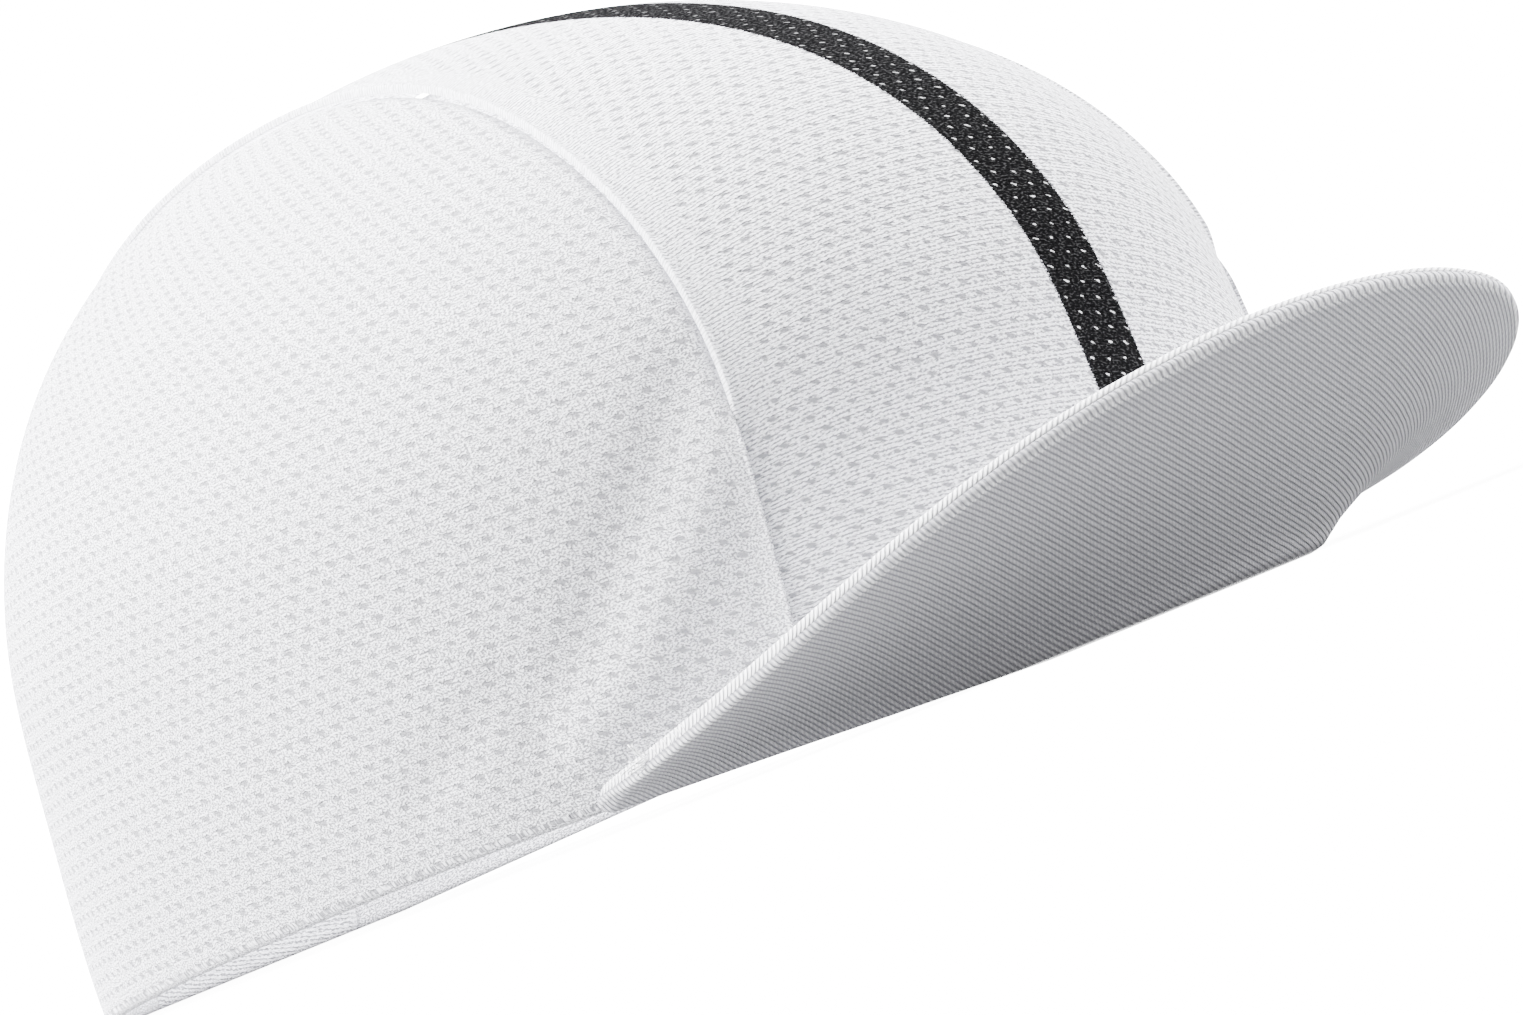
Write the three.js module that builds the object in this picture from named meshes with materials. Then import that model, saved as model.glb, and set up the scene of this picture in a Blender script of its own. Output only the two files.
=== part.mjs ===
// A soft cycling cap: three knitted panels sewn into a crown, and a short two-layer peak that stands up.
// Millimetres, +Z up. The cap rests on its hem, its front is at -Y and the wearer's right side is at -X.
import * as THREE from 'three';

// Crown
const HEM_FRONT = 82;
const HEM_BACK = 120;
const HEM_SIDE = 82;
const CROWN_RISE = 115;
const TOP_SETBACK = 25;
const EAR_LIFT = 3.5;
const CORNER_FULLNESS = 0.02;
const CLOTH = 1.3;
const HEM_FOLD_THICKNESS = 2.6;
const HEM_FOLD_HEIGHT = 14;
const SEAM_GAP = 0.3;

// Share of the hem, front and back, that lies flat on the surface before it rises over the ears
const FLAT_SHARE = 0.15;

// Peak
const PEAK_LENGTH = 49;
const PEAK_HALF_SPAN = 68;
const PEAK_RAISE = 38;
const PEAK_SIDE_DROOP = 32;
const PEAK_FORWARD_SHARE = 0.7;
const PEAK_BLUNTNESS = 4;
const PEAK_END_SHARE = 0.92;
const PEAK_LEAN = 3.5;
const PEAK_SEAT = 0.6;
const COVER = 1.2;
const COVER_GAP = 0.3;
const PEAK_TO_CROWN = 0.3;
const RIM = 1.5;
const RIM_GAP = 0.3;

// How full the crown is against a plain dome on the hem, each 15 degrees from the hem up to the top
const FULLNESS_STEP = 15;
const FULLNESS = [
  { front: 1.00, back: 1.00, side: 1.00 },
  { front: 1.05, back: 0.95, side: 1.09 },
  { front: 1.20, back: 0.955, side: 1.165 },
  { front: 1.35, back: 0.985, side: 1.18 },
  { front: 1.49, back: 1.05, side: 1.13 },
  { front: 1.60, back: 1.12, side: 1.08 },
  { front: 1.64, back: 1.14, side: 1.06 },
];

// Where the seam runs: degrees aside from the middle, each 30 degrees over the top from the front hem
const SEAM_STEP = 30;
const SEAM = [
  { aside: 47 },
  { aside: 35 },
  { aside: 25.2 },
  { aside: 12 },
  { aside: 11.5 },
  { aside: 14 },
  { aside: 17 },
];

// Folds in the wearer's right panel, between two ends given as degrees around from the front and up from
// the hem. Height is a share of the cloth's thickness, a ridge above 0 and a valley below; width is in degrees.
const FOLDS = [
  { aroundFrom: 40, upFrom: 27, aroundTo: 69, upTo: 5, height: 1.1, width: 3.2 },
  { aroundFrom: 43, upFrom: 30, aroundTo: 84, upTo: 7, height: -1.3, width: 3.6 },
  { aroundFrom: 131, upFrom: 68, aroundTo: 106, upTo: 52, height: -0.9, width: 3.0 },
  { aroundFrom: 128, upFrom: 58, aroundTo: 111, upTo: 44, height: -0.8, width: 3.0 },
];

// Mesh density
const CENTRE_ROWS = 52;
const CENTRE_COLUMNS = 12;
const SIDE_ROWS = 44;
const SIDE_COLUMNS = 18;
const PEAK_ROWS = 36;
const PEAK_COLUMNS = 6;

const rad = THREE.MathUtils.degToRad;
const deg = THREE.MathUtils.radToDeg;
const UP = new THREE.Vector3(0, 0, 1);

// A column of an evenly stepped table, read between its rows along a smooth curve.
function column(table, step, name, at) {
  const last = table.length - 1;
  const place = Math.min(Math.max(at / step, 0), last - 1e-9);
  const row = Math.floor(place);
  const t = place - row;
  const value = (i) => table[i][name];
  const b = value(row);
  const c = value(row + 1);
  const a = row > 0 ? value(row - 1) : 2 * b - c;
  const d = row + 2 <= last ? value(row + 2) : c;
  return b + 0.5 * t * (c - a + t * (2 * a - 5 * b + 4 * c - d + t * (3 * (b - c) + d - a)));
}

// Direction from the middle of the hem: degrees over the top from the front, and degrees to the right side.
function overAndAside(over, aside) {
  const a = rad(over);
  const b = rad(aside);
  return new THREE.Vector3(-Math.sin(b), -Math.cos(a) * Math.cos(b), Math.sin(a) * Math.cos(b));
}

// The same direction given as degrees around from the front towards the right, and degrees up from the hem.
function aroundAndUp(around, up) {
  const a = rad(around);
  const b = rad(up);
  return new THREE.Vector3(-Math.sin(a) * Math.cos(b), -Math.cos(a) * Math.cos(b), Math.sin(b));
}

function mirrored(direction) {
  return new THREE.Vector3(-direction.x, direction.y, direction.z);
}

// How far the hem stands off the surface at a place around it.
function hemLift(around) {
  const rise = (Math.sin(around) ** 2 - FLAT_SHARE) / (1 - FLAT_SHARE);
  return EAR_LIFT * Math.max(0, rise);
}

// The smooth outer skin of the crown, before folds.
function smoothSkin(direction) {
  const up = Math.asin(THREE.MathUtils.clamp(direction.z, -1, 1));
  const around = Math.atan2(-direction.x, -direction.y);
  const ahead = Math.cos(around) >= 0;
  const reach = ahead ? HEM_FRONT : HEM_BACK;
  const lengthwise = column(FULLNESS, FULLNESS_STEP, ahead ? 'front' : 'back', deg(up));
  const sideways = column(FULLNESS, FULLNESS_STEP, 'side', deg(up));
  const ring = Math.cos(up) * (1 + CORNER_FULLNESS * Math.sin(2 * around) ** 2);
  return new THREE.Vector3(
    -HEM_SIDE * sideways * ring * Math.sin(around),
    -reach * lengthwise * ring * Math.cos(around) + TOP_SETBACK * Math.sin(up) ** 2,
    CROWN_RISE * Math.sin(up) + hemLift(around) * (1 - Math.sin(up)),
  );
}

// Outward normal of the smooth skin; it lies level at the hem, so that the hem's edge is flat.
function skinNormal(direction) {
  const step = 0.01;
  const aside = new THREE.Vector3(-direction.y, direction.x, 0);
  if (aside.lengthSq() < 1e-6) aside.set(1, 0, 0);
  aside.normalize();
  const upward = new THREE.Vector3().crossVectors(direction, aside);
  if (upward.z < 0) upward.negate();
  const at = (axis, amount) => smoothSkin(direction.clone().addScaledVector(axis, amount).normalize());
  const across = at(aside, step).sub(at(aside, -step));
  const along = at(upward, step).sub(at(upward, 0));
  const normal = across.cross(along).normalize();
  if (normal.dot(direction) < 0) normal.negate();
  const levelled = THREE.MathUtils.smoothstep(smoothSkin(direction).z, EAR_LIFT, HEM_FOLD_HEIGHT);
  normal.z *= levelled;
  return normal.normalize();
}

// How far the folds push the right panel's skin out or in.
function foldHeight(direction) {
  let height = 0;
  for (const fold of FOLDS) {
    const from = aroundAndUp(fold.aroundFrom, fold.upFrom);
    const to = aroundAndUp(fold.aroundTo, fold.upTo);
    const length = from.distanceTo(to);
    const run = to.clone().sub(from).divideScalar(length);
    const along = direction.clone().sub(from).dot(run) / length;
    const nearest = from.clone().addScaledVector(run, length * THREE.MathUtils.clamp(along, 0, 1));
    const off = deg(nearest.normalize().distanceTo(direction)) / fold.width;
    height += CLOTH * fold.height * Math.exp(-off * off);
  }
  return height;
}

// A point of the crown at a depth below its outer skin; a negative depth is outside it.
// The folds die out where the cloth is doubled at the hem.
function crownPoint(direction, depth, folded) {
  const skin = smoothSkin(direction);
  const loose = folded ? THREE.MathUtils.smoothstep(skin.z, 0, HEM_FOLD_HEIGHT) : 0;
  return skin.addScaledVector(skinNormal(direction), loose * foldHeight(direction) - depth);
}

// The cloth is folded double at the hem.
function wallThickness(direction) {
  const height = smoothSkin(direction).z;
  const single = THREE.MathUtils.smoothstep(height, EAR_LIFT, HEM_FOLD_HEIGHT);
  return HEM_FOLD_THICKNESS + (CLOTH - HEM_FOLD_THICKNESS) * single;
}

// A closed solid between two grids of points with as many rows and columns. Points that meet are shared,
// and each four-sided patch is cut along its shorter diagonal.
function slab(front, back) {
  const places = [];
  const known = new Map();
  const index = (point) => {
    const key = point.toArray().map((value) => Math.round(value * 1e4)).join();
    if (!known.has(key)) {
      known.set(key, places.length / 3);
      places.push(...point.toArray());
    }
    return known.get(key);
  };
  const triangles = [];
  const triangle = (a, b, c) => {
    if (a !== b && b !== c && c !== a) triangles.push(a, b, c);
  };
  const quad = (a, b, c, d) => {
    const [ia, ib, ic, id] = [a, b, c, d].map(index);
    const shorter = a.distanceTo(c) < b.distanceTo(d);
    triangle(ia, ib, shorter ? ic : id);
    triangle(shorter ? ia : ib, ic, id);
  };
  const rows = front.length - 1;
  const columns = front[0].length - 1;
  for (let i = 0; i < rows; i += 1) {
    for (let j = 0; j < columns; j += 1) {
      quad(front[i][j], front[i + 1][j], front[i + 1][j + 1], front[i][j + 1]);
      quad(back[i][j], back[i][j + 1], back[i + 1][j + 1], back[i + 1][j]);
    }
    quad(front[i][0], back[i][0], back[i + 1][0], front[i + 1][0]);
    quad(front[i][columns], front[i + 1][columns], back[i + 1][columns], back[i][columns]);
  }
  for (let j = 0; j < columns; j += 1) {
    quad(front[0][j], front[0][j + 1], back[0][j + 1], back[0][j]);
    quad(front[rows][j], back[rows][j], back[rows][j + 1], front[rows][j + 1]);
  }
  const geometry = new THREE.BufferGeometry();
  geometry.setAttribute('position', new THREE.Float32BufferAttribute(places, 3));
  geometry.setIndex(facingOut(places, triangles));
  geometry.computeVertexNormals();
  return geometry;
}

// The triangles, all turned over if they enclose a negative volume.
function facingOut(places, triangles) {
  const corner = (i) => new THREE.Vector3().fromArray(places, 3 * i);
  let volume = 0;
  for (let i = 0; i < triangles.length; i += 3) {
    const [a, b, c] = triangles.slice(i, i + 3).map(corner);
    volume += a.dot(b.cross(c)) / 6;
  }
  return volume > 0 ? triangles : triangles.reverse();
}

function grid(rows, columns, point) {
  return Array.from({ length: rows + 1 }, (_, i) => (
    Array.from({ length: columns + 1 }, (__, j) => point(i / rows, j / columns))
  ));
}

// Half of the gap between two panels, as degrees at the hem's side.
const HALF_SEAM_GAP = deg(SEAM_GAP / 2 / HEM_SIDE);

function seamAside(over) {
  return column(SEAM, SEAM_STEP, 'aside', over);
}

// The panel over the middle, from the front hem to the back hem.
function centrePanel() {
  const direction = (along, across) => {
    const over = 180 * along;
    const edge = seamAside(over) - HALF_SEAM_GAP;
    return overAndAside(over, edge * (1 - 2 * across));
  };
  const outer = grid(CENTRE_ROWS, CENTRE_COLUMNS, (u, v) => crownPoint(direction(u, v), 0, false));
  const inner = grid(CENTRE_ROWS, CENTRE_COLUMNS, (u, v) => {
    const towards = direction(u, v);
    return crownPoint(towards, wallThickness(towards), false);
  });
  return slab(outer, inner);
}

// The panel on one side, from its seam down to the hem; only the right one has folds.
function sidePanel(right) {
  const hemFrom = seamAside(0) + HALF_SEAM_GAP;
  const hemTo = 180 - seamAside(180) - HALF_SEAM_GAP;
  const direction = (along, down) => {
    const over = 180 * along;
    const atSeam = overAndAside(over, seamAside(over) + HALF_SEAM_GAP);
    const atHem = aroundAndUp(THREE.MathUtils.lerp(hemFrom, hemTo, along), 0);
    const towards = atSeam.lerp(atHem, down).normalize();
    return right ? towards : mirrored(towards);
  };
  const outer = grid(SIDE_ROWS, SIDE_COLUMNS, (u, v) => crownPoint(direction(u, v), 0, right));
  const inner = grid(SIDE_ROWS, SIDE_COLUMNS, (u, v) => {
    const towards = direction(u, v);
    return crownPoint(towards, wallThickness(towards), right);
  });
  return slab(outer, inner);
}

// One line of the peak from the hem to its free edge: share is -1 at the left end and 1 at the right end.
function peakLine(share) {
  const around = PEAK_HALF_SPAN * share;
  const foot = crownPoint(aroundAndUp(around, 0), 0, false);
  const level = new THREE.Vector3(foot.x / HEM_SIDE ** 2, foot.y / HEM_FRONT ** 2, 0).normalize()
    .lerp(new THREE.Vector3(0, -1, 0), PEAK_FORWARD_SHARE).normalize();
  const raise = rad(PEAK_RAISE - PEAK_SIDE_DROOP * share * share);
  const outline = Math.sqrt(Math.max(0, 1 - Math.abs(share) ** PEAK_BLUNTNESS));
  const length = PEAK_LENGTH * outline;
  const edge = foot.clone()
    .addScaledVector(level, length * Math.cos(raise))
    .addScaledVector(UP, PEAK_SEAT + length * Math.sin(raise) - PEAK_LEAN * outline * foot.x / HEM_SIDE);
  const normal = level.clone().multiplyScalar(-Math.sin(raise)).addScaledVector(UP, Math.cos(raise));
  return { around, edge, length, normal, rise: Math.cos(raise) };
}

// A point of the peak: inset is measured back from the free edge, layer up from the underside.
function peakPoint(line, inset, layer) {
  const height = PEAK_SEAT + layer / line.rise;
  const up = deg(Math.asin(height / CROWN_RISE));
  const root = crownPoint(aroundAndUp(line.around, up), -PEAK_TO_CROWN, false);
  const edge = line.edge.clone().addScaledVector(line.normal, layer);
  return edge.lerp(root, inset);
}

const UNDER_BACK = COVER;
const TOP_FACE = COVER + COVER_GAP;
const PEAK_THICKNESS = 2 * COVER + COVER_GAP;

// Peak lines at even steps around, closer together at the two ends.
function peakLines(end) {
  const steps = Array.from({ length: PEAK_ROWS + 1 }, (_, i) => end * (2 * i / PEAK_ROWS - 1));
  return steps.map((step) => peakLine(Math.sin(step * Math.PI / 2)));
}

function evenSteps(from, to, count) {
  return Array.from({ length: count + 1 }, (_, i) => THREE.MathUtils.lerp(from, to, i / count));
}

// Rows of points across a cover, brought to one point on the hem beyond the first row and the last.
function pointed(rows, layer) {
  const tip = (share) => rows[0].map(() => peakPoint(peakLine(share), 1, layer));
  return [tip(-1), ...rows, tip(1)];
}

// The cover on the underside; it stops short of the rim that the top cover rolls round it.
function peakUnderCover() {
  const insets = (line) => evenSteps(1, (RIM + RIM_GAP) / line.length, PEAK_COLUMNS);
  const sheet = (layer) => peakLines(PEAK_END_SHARE).map((line) => (
    insets(line).map((inset) => peakPoint(line, inset, layer))
  ));
  return slab(pointed(sheet(0), COVER / 2), pointed(sheet(UNDER_BACK), COVER / 2));
}

// The cover on the upper side, with its rim turned down over the free edge.
function peakTopCover() {
  const lines = peakLines(PEAK_END_SHARE);
  const upper = lines.map((line) => (
    [...evenSteps(1, RIM / line.length, PEAK_COLUMNS), RIM / line.length / 2, 0]
      .map((inset) => peakPoint(line, inset, PEAK_THICKNESS))
  ));
  const lower = lines.map((line) => [
    ...evenSteps(1, RIM / line.length, PEAK_COLUMNS).map((inset) => peakPoint(line, inset, TOP_FACE)),
    peakPoint(line, RIM / line.length, 0),
    peakPoint(line, 0, 0),
  ]);
  return slab(pointed(upper, TOP_FACE + COVER / 2), pointed(lower, TOP_FACE + COVER / 2));
}

const KNIT = { color: 0xe9e9ee, roughness: 0.9, metalness: 0 };
const TWILL = { color: 0xe4e4ea, roughness: 0.85, metalness: 0 };

function piece(name, geometry, finish) {
  const mesh = new THREE.Mesh(geometry, new THREE.MeshStandardMaterial(finish));
  mesh.name = name;
  return mesh;
}

const cap = new THREE.Group();
cap.add(
  piece('crown_centre_panel', centrePanel(), KNIT),
  piece('crown_side_panel_right', sidePanel(true), KNIT),
  piece('crown_side_panel_left', sidePanel(false), KNIT),
  piece('peak_under_cover', peakUnderCover(), TWILL),
  piece('peak_top_cover', peakTopCover(), TWILL),
);

// The origin is on the surface, under the middle of the cap's length.
const box = new THREE.Box3().setFromObject(cap);
cap.position.y = -(box.min.y + box.max.y) / 2;

export default cap;
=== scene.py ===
"""Looks of a soft cycling cap: three knitted panels, their seams and hem, and a short turned-up peak.

Shapes are worked out in millimetres, and meshes are in metres. Up is +Z and the front is -Y.
"""
import logging
import math
from dataclasses import dataclass
from enum import Enum
from typing import Callable, Sequence, Union

import bmesh
import bpy
import numpy as np
from mathutils import Matrix, Vector


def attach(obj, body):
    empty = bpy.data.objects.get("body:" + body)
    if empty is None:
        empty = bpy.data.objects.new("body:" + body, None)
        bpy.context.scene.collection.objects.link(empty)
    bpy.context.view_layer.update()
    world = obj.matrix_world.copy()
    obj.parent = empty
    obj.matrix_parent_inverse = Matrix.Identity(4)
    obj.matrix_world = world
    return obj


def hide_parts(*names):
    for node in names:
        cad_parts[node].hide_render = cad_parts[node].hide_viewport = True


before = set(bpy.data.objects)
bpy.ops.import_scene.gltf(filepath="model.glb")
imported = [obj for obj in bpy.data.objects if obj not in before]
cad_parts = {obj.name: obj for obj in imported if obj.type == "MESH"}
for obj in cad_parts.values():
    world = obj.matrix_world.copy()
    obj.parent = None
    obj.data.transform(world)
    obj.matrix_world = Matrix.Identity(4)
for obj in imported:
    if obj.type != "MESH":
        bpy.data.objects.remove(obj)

MM = 0.001
# The forms' own origin lies this far behind the frame's, in millimetres
SHIFT_FRONT_BACK = 0.306
# Places inside the crown, in metres, from which its faces and its cloth's outside are told
HEAD_MIDDLE = (0.0, 0.01, 0.03)
CAP_MIDDLE = (0.0, 0.015, 0.030)
LOG = logging.getLogger("cap")
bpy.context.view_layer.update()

Colour = tuple[float, float, float]
Link = Union[float, Colour, "Value"]


class Side(Enum):
    """The wearer's side, as the sign of around: the right one is at -X."""

    RIGHT = 1
    LEFT = -1


class Slot(Enum):
    """The record's finishes."""

    KNIT = "mesh_knit"
    STRIPED = "mesh_knit_striped"
    TWILL = "ribbed_twill"


# Plain mathematics

def smoothstep(low: float, high: float, value: np.ndarray) -> np.ndarray:
    """0 at low, 1 at high, with an even start and end."""
    share = np.clip((value - low) / (high - low), 0.0, 1.0)
    return share * share * (3.0 - 2.0 * share)


def bell(distance: np.ndarray, width: Union[float, np.ndarray]) -> np.ndarray:
    """1 at distance 0, falling evenly to nearly 0 at twice the width."""
    return np.exp(-(distance / width) ** 2)


def unit(vectors: np.ndarray) -> np.ndarray:
    """The vectors at length 1."""
    return vectors / np.maximum(np.linalg.norm(vectors, axis=-1, keepdims=True), 1e-12)


def column(rows: Sequence[float], step: float, at: np.ndarray) -> np.ndarray:
    """Reads an evenly stepped column between its rows along a smooth curve.

    Args:
        rows: the column's values.
        step: the distance between two rows.
        at: where to read it.

    Returns:
        The value at each place.
    """
    values = np.asarray(rows, float)
    last = len(values) - 1
    place = np.clip(np.asarray(at, float) / step, 0.0, last - 1e-9)
    row = np.floor(place).astype(int)
    share = place - row
    low, high = values[row], values[row + 1]
    before = np.where(row > 0, values[np.maximum(row - 1, 0)], 2 * low - high)
    after = np.where(row + 2 <= last, values[np.minimum(row + 2, last)], high)
    bend = 2 * before - 5 * low + 4 * high - after + share * (3 * (low - high) + after - before)
    return low + 0.5 * share * (high - before + share * bend)


def over_and_aside(over: np.ndarray, aside: np.ndarray) -> np.ndarray:
    """Direction from the middle of the hem: degrees over the top from the front, and degrees to the right."""
    over, aside = np.broadcast_arrays(np.radians(over), np.radians(aside))
    return np.stack([-np.sin(aside), -np.cos(over) * np.cos(aside), np.sin(over) * np.cos(aside)], axis=-1)


def around_and_up(around: np.ndarray, up: np.ndarray) -> np.ndarray:
    """The same direction as degrees around from the front towards the right, and degrees up from the hem."""
    around, up = np.broadcast_arrays(np.radians(around), np.radians(up))
    return np.stack([-np.sin(around) * np.cos(up), -np.cos(around) * np.cos(up), np.sin(up)], axis=-1)


def run_length(points: np.ndarray, axis: int) -> np.ndarray:
    """Length along a grid's lines from their first point.

    Args:
        points: rows by columns by 3.
        axis: 0 along the rows' own order, 1 across them.

    Returns:
        Rows by columns.
    """
    steps = np.linalg.norm(np.diff(points, axis=axis), axis=-1)
    start = np.zeros_like(np.take(steps, [0], axis=axis))
    return np.concatenate([start, np.cumsum(steps, axis=axis)], axis=axis)


# The crown's form

@dataclass(frozen=True)
class Fold:
    """A ridge or valley along a line of places, each in degrees around and up.

    Attributes:
        line: the places.
        height: millimetres out of the skin, or into it where negative.
        width: degrees from the line at which little more than a third of the height is left.
    """

    line: tuple[tuple[float, float], ...]
    height: float
    width: float


@dataclass(frozen=True)
class CrownForm:
    """The crown's skin, from its named sizes in millimetres.

    Attributes:
        front: the front's length against a round dome's, at every 15 degrees up; back and side as well.
        seam: degrees aside of the seam, at every 30 degrees over the top.
        flat_share: how much of the hem lies flat in front and behind, before it lifts over the ears.
    """

    hem_front: float = 82.0
    hem_back: float = 120.0
    hem_side: float = 82.0
    rise: float = 115.0
    top_setback: float = 25.0
    ear_lift: float = 3.5
    flat_share: float = 0.15
    corner_fullness: float = 0.02
    hem_fold_height: float = 14.0
    profile_step: float = 15.0
    front: tuple[float, ...] = (1.00, 1.05, 1.20, 1.35, 1.49, 1.60, 1.64)
    back: tuple[float, ...] = (1.00, 0.95, 0.955, 0.985, 1.05, 1.12, 1.14)
    side: tuple[float, ...] = (1.00, 1.09, 1.165, 1.18, 1.13, 1.08, 1.06)
    seam_step: float = 30.0
    seam: tuple[float, ...] = (47.3, 36.7, 26.2, 13.8, 12.5, 14.0, 17.0)
    folds: tuple[Fold, ...] = (
        Fold(((43, 21), (46.5, 17), (51.5, 13), (58, 8.5), (66, 5)), 1.10, 2.9),
        Fold(((44, 27), (48.5, 22), (54.5, 17), (61, 11.5), (69, 7)), -0.95, 2.7),
        Fold(((70, 11), (76, 8.5), (85, 5)), -0.50, 2.0),
        Fold(((131, 68), (106, 52)), -0.80, 3.0),
        Fold(((128, 58), (111, 44)), -0.75, 3.0),
    )

    def seam_aside(self, over: np.ndarray) -> np.ndarray:
        """How far aside the seam runs at degrees over the top."""
        return column(self.seam, self.seam_step, over)

    def skin(self, direction: np.ndarray) -> np.ndarray:
        """The smooth outer skin.

        Args:
            direction: unit vectors from the middle of the hem.

        Returns:
            The places on the skin.
        """
        sine = np.clip(direction[..., 2], -1.0, 1.0)
        up = np.arcsin(sine)
        around = np.arctan2(-direction[..., 0], -direction[..., 1])
        ahead = np.cos(around) >= 0
        reach = np.where(ahead, self.hem_front, self.hem_back)
        front, back, side = (column(rows, self.profile_step, np.degrees(up))
                             for rows in (self.front, self.back, self.side))
        ring = np.cos(up) * (1 + self.corner_fullness * np.sin(2 * around) ** 2)
        beside = np.maximum(0.0, (np.sin(around) ** 2 - self.flat_share) / (1 - self.flat_share))
        return np.stack([
            -self.hem_side * side * ring * np.sin(around),
            -reach * np.where(ahead, front, back) * ring * np.cos(around) + self.top_setback * sine ** 2,
            self.rise * sine + self.ear_lift * beside * (1 - sine),
        ], axis=-1)

    def normal(self, direction: np.ndarray) -> np.ndarray:
        """Outward normal, level at the hem.

        Args:
            direction: unit vectors from the middle of the hem.

        Returns:
            The unit normals.
        """
        step = 0.01
        aside = np.stack([-direction[..., 1], direction[..., 0], np.zeros_like(direction[..., 0])], axis=-1)
        pole = np.linalg.norm(aside, axis=-1, keepdims=True) < 1e-3
        aside = unit(np.where(pole, np.array([1.0, 0.0, 0.0]), aside))
        upward = np.cross(direction, aside)
        upward = np.where(upward[..., 2:] < 0, -upward, upward)

        def at(axis: np.ndarray, amount: float) -> np.ndarray:
            """The skin a small step away."""
            return self.skin(unit(direction + axis * amount))

        normal = unit(np.cross(at(aside, step) - at(aside, -step), at(upward, step) - at(upward, 0.0)))
        normal = np.where((normal * direction).sum(-1, keepdims=True) < 0, -normal, normal)
        normal[..., 2] *= smoothstep(self.ear_lift, self.hem_fold_height, self.skin(direction)[..., 2])
        return unit(normal)

    def _off(self, direction: np.ndarray, start: np.ndarray, end: np.ndarray) -> np.ndarray:
        """Degrees between directions and the line from start to end.

        Args:
            direction: unit vectors.
            start: the line's first direction.
            end: its last direction.

        Returns:
            The degrees.
        """
        run = end - start
        along = np.clip(((direction - start) @ run) / (run @ run), 0.0, 1.0)
        return np.degrees(np.linalg.norm(direction - unit(start + along[..., None] * run), axis=-1))

    def fold_height(self, direction: np.ndarray) -> np.ndarray:
        """How far the folds push the right panel out or in.

        Args:
            direction: unit vectors from the middle of the hem.

        Returns:
            Millimetres, fading out towards the hem.
        """
        total = np.zeros(direction.shape[:-1])
        for fold in self.folds:
            places = [around_and_up(*place) for place in fold.line]
            off = np.min([self._off(direction, *ends) for ends in zip(places, places[1:])], axis=0)
            total += fold.height * bell(off, fold.width)
        return total * smoothstep(0.0, self.hem_fold_height, self.skin(direction)[..., 2])

    def point(self, direction: np.ndarray, depth: Union[float, np.ndarray],
              folded: bool = False) -> np.ndarray:
        """A point at a depth under the skin; a negative depth is outside it."""
        out = self.fold_height(direction) if folded else 0.0
        return self.skin(direction) + self.normal(direction) * np.asarray(out - depth)[..., None]

    def level(self, around: np.ndarray, height: Union[float, np.ndarray]) -> np.ndarray:
        """Direction of the place at degrees around and a height above the hem."""
        return around_and_up(around, np.degrees(np.arcsin(np.asarray(height) / self.rise)))


# Meshes

def new_piece(name: str, bm: bmesh.types.BMesh, material: bpy.types.Material) -> bpy.types.Object:
    """Turns a finished bmesh into a smooth piece in the scene.

    Args:
        name: the piece's name.
        bm: its shape, which is freed.
        material: its finish.

    Returns:
        The new object.
    """
    for face in bm.faces:
        face.smooth = True
    mesh = bpy.data.meshes.new(name)
    bm.to_mesh(mesh)
    bm.free()
    mesh.materials.append(material)
    piece = bpy.data.objects.new(name, mesh)
    bpy.context.scene.collection.objects.link(piece)
    return piece


def away_from_head(place: Vector) -> Vector:
    """Outward at a place on the crown."""
    return place - Vector(HEAD_MIDDLE)


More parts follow.
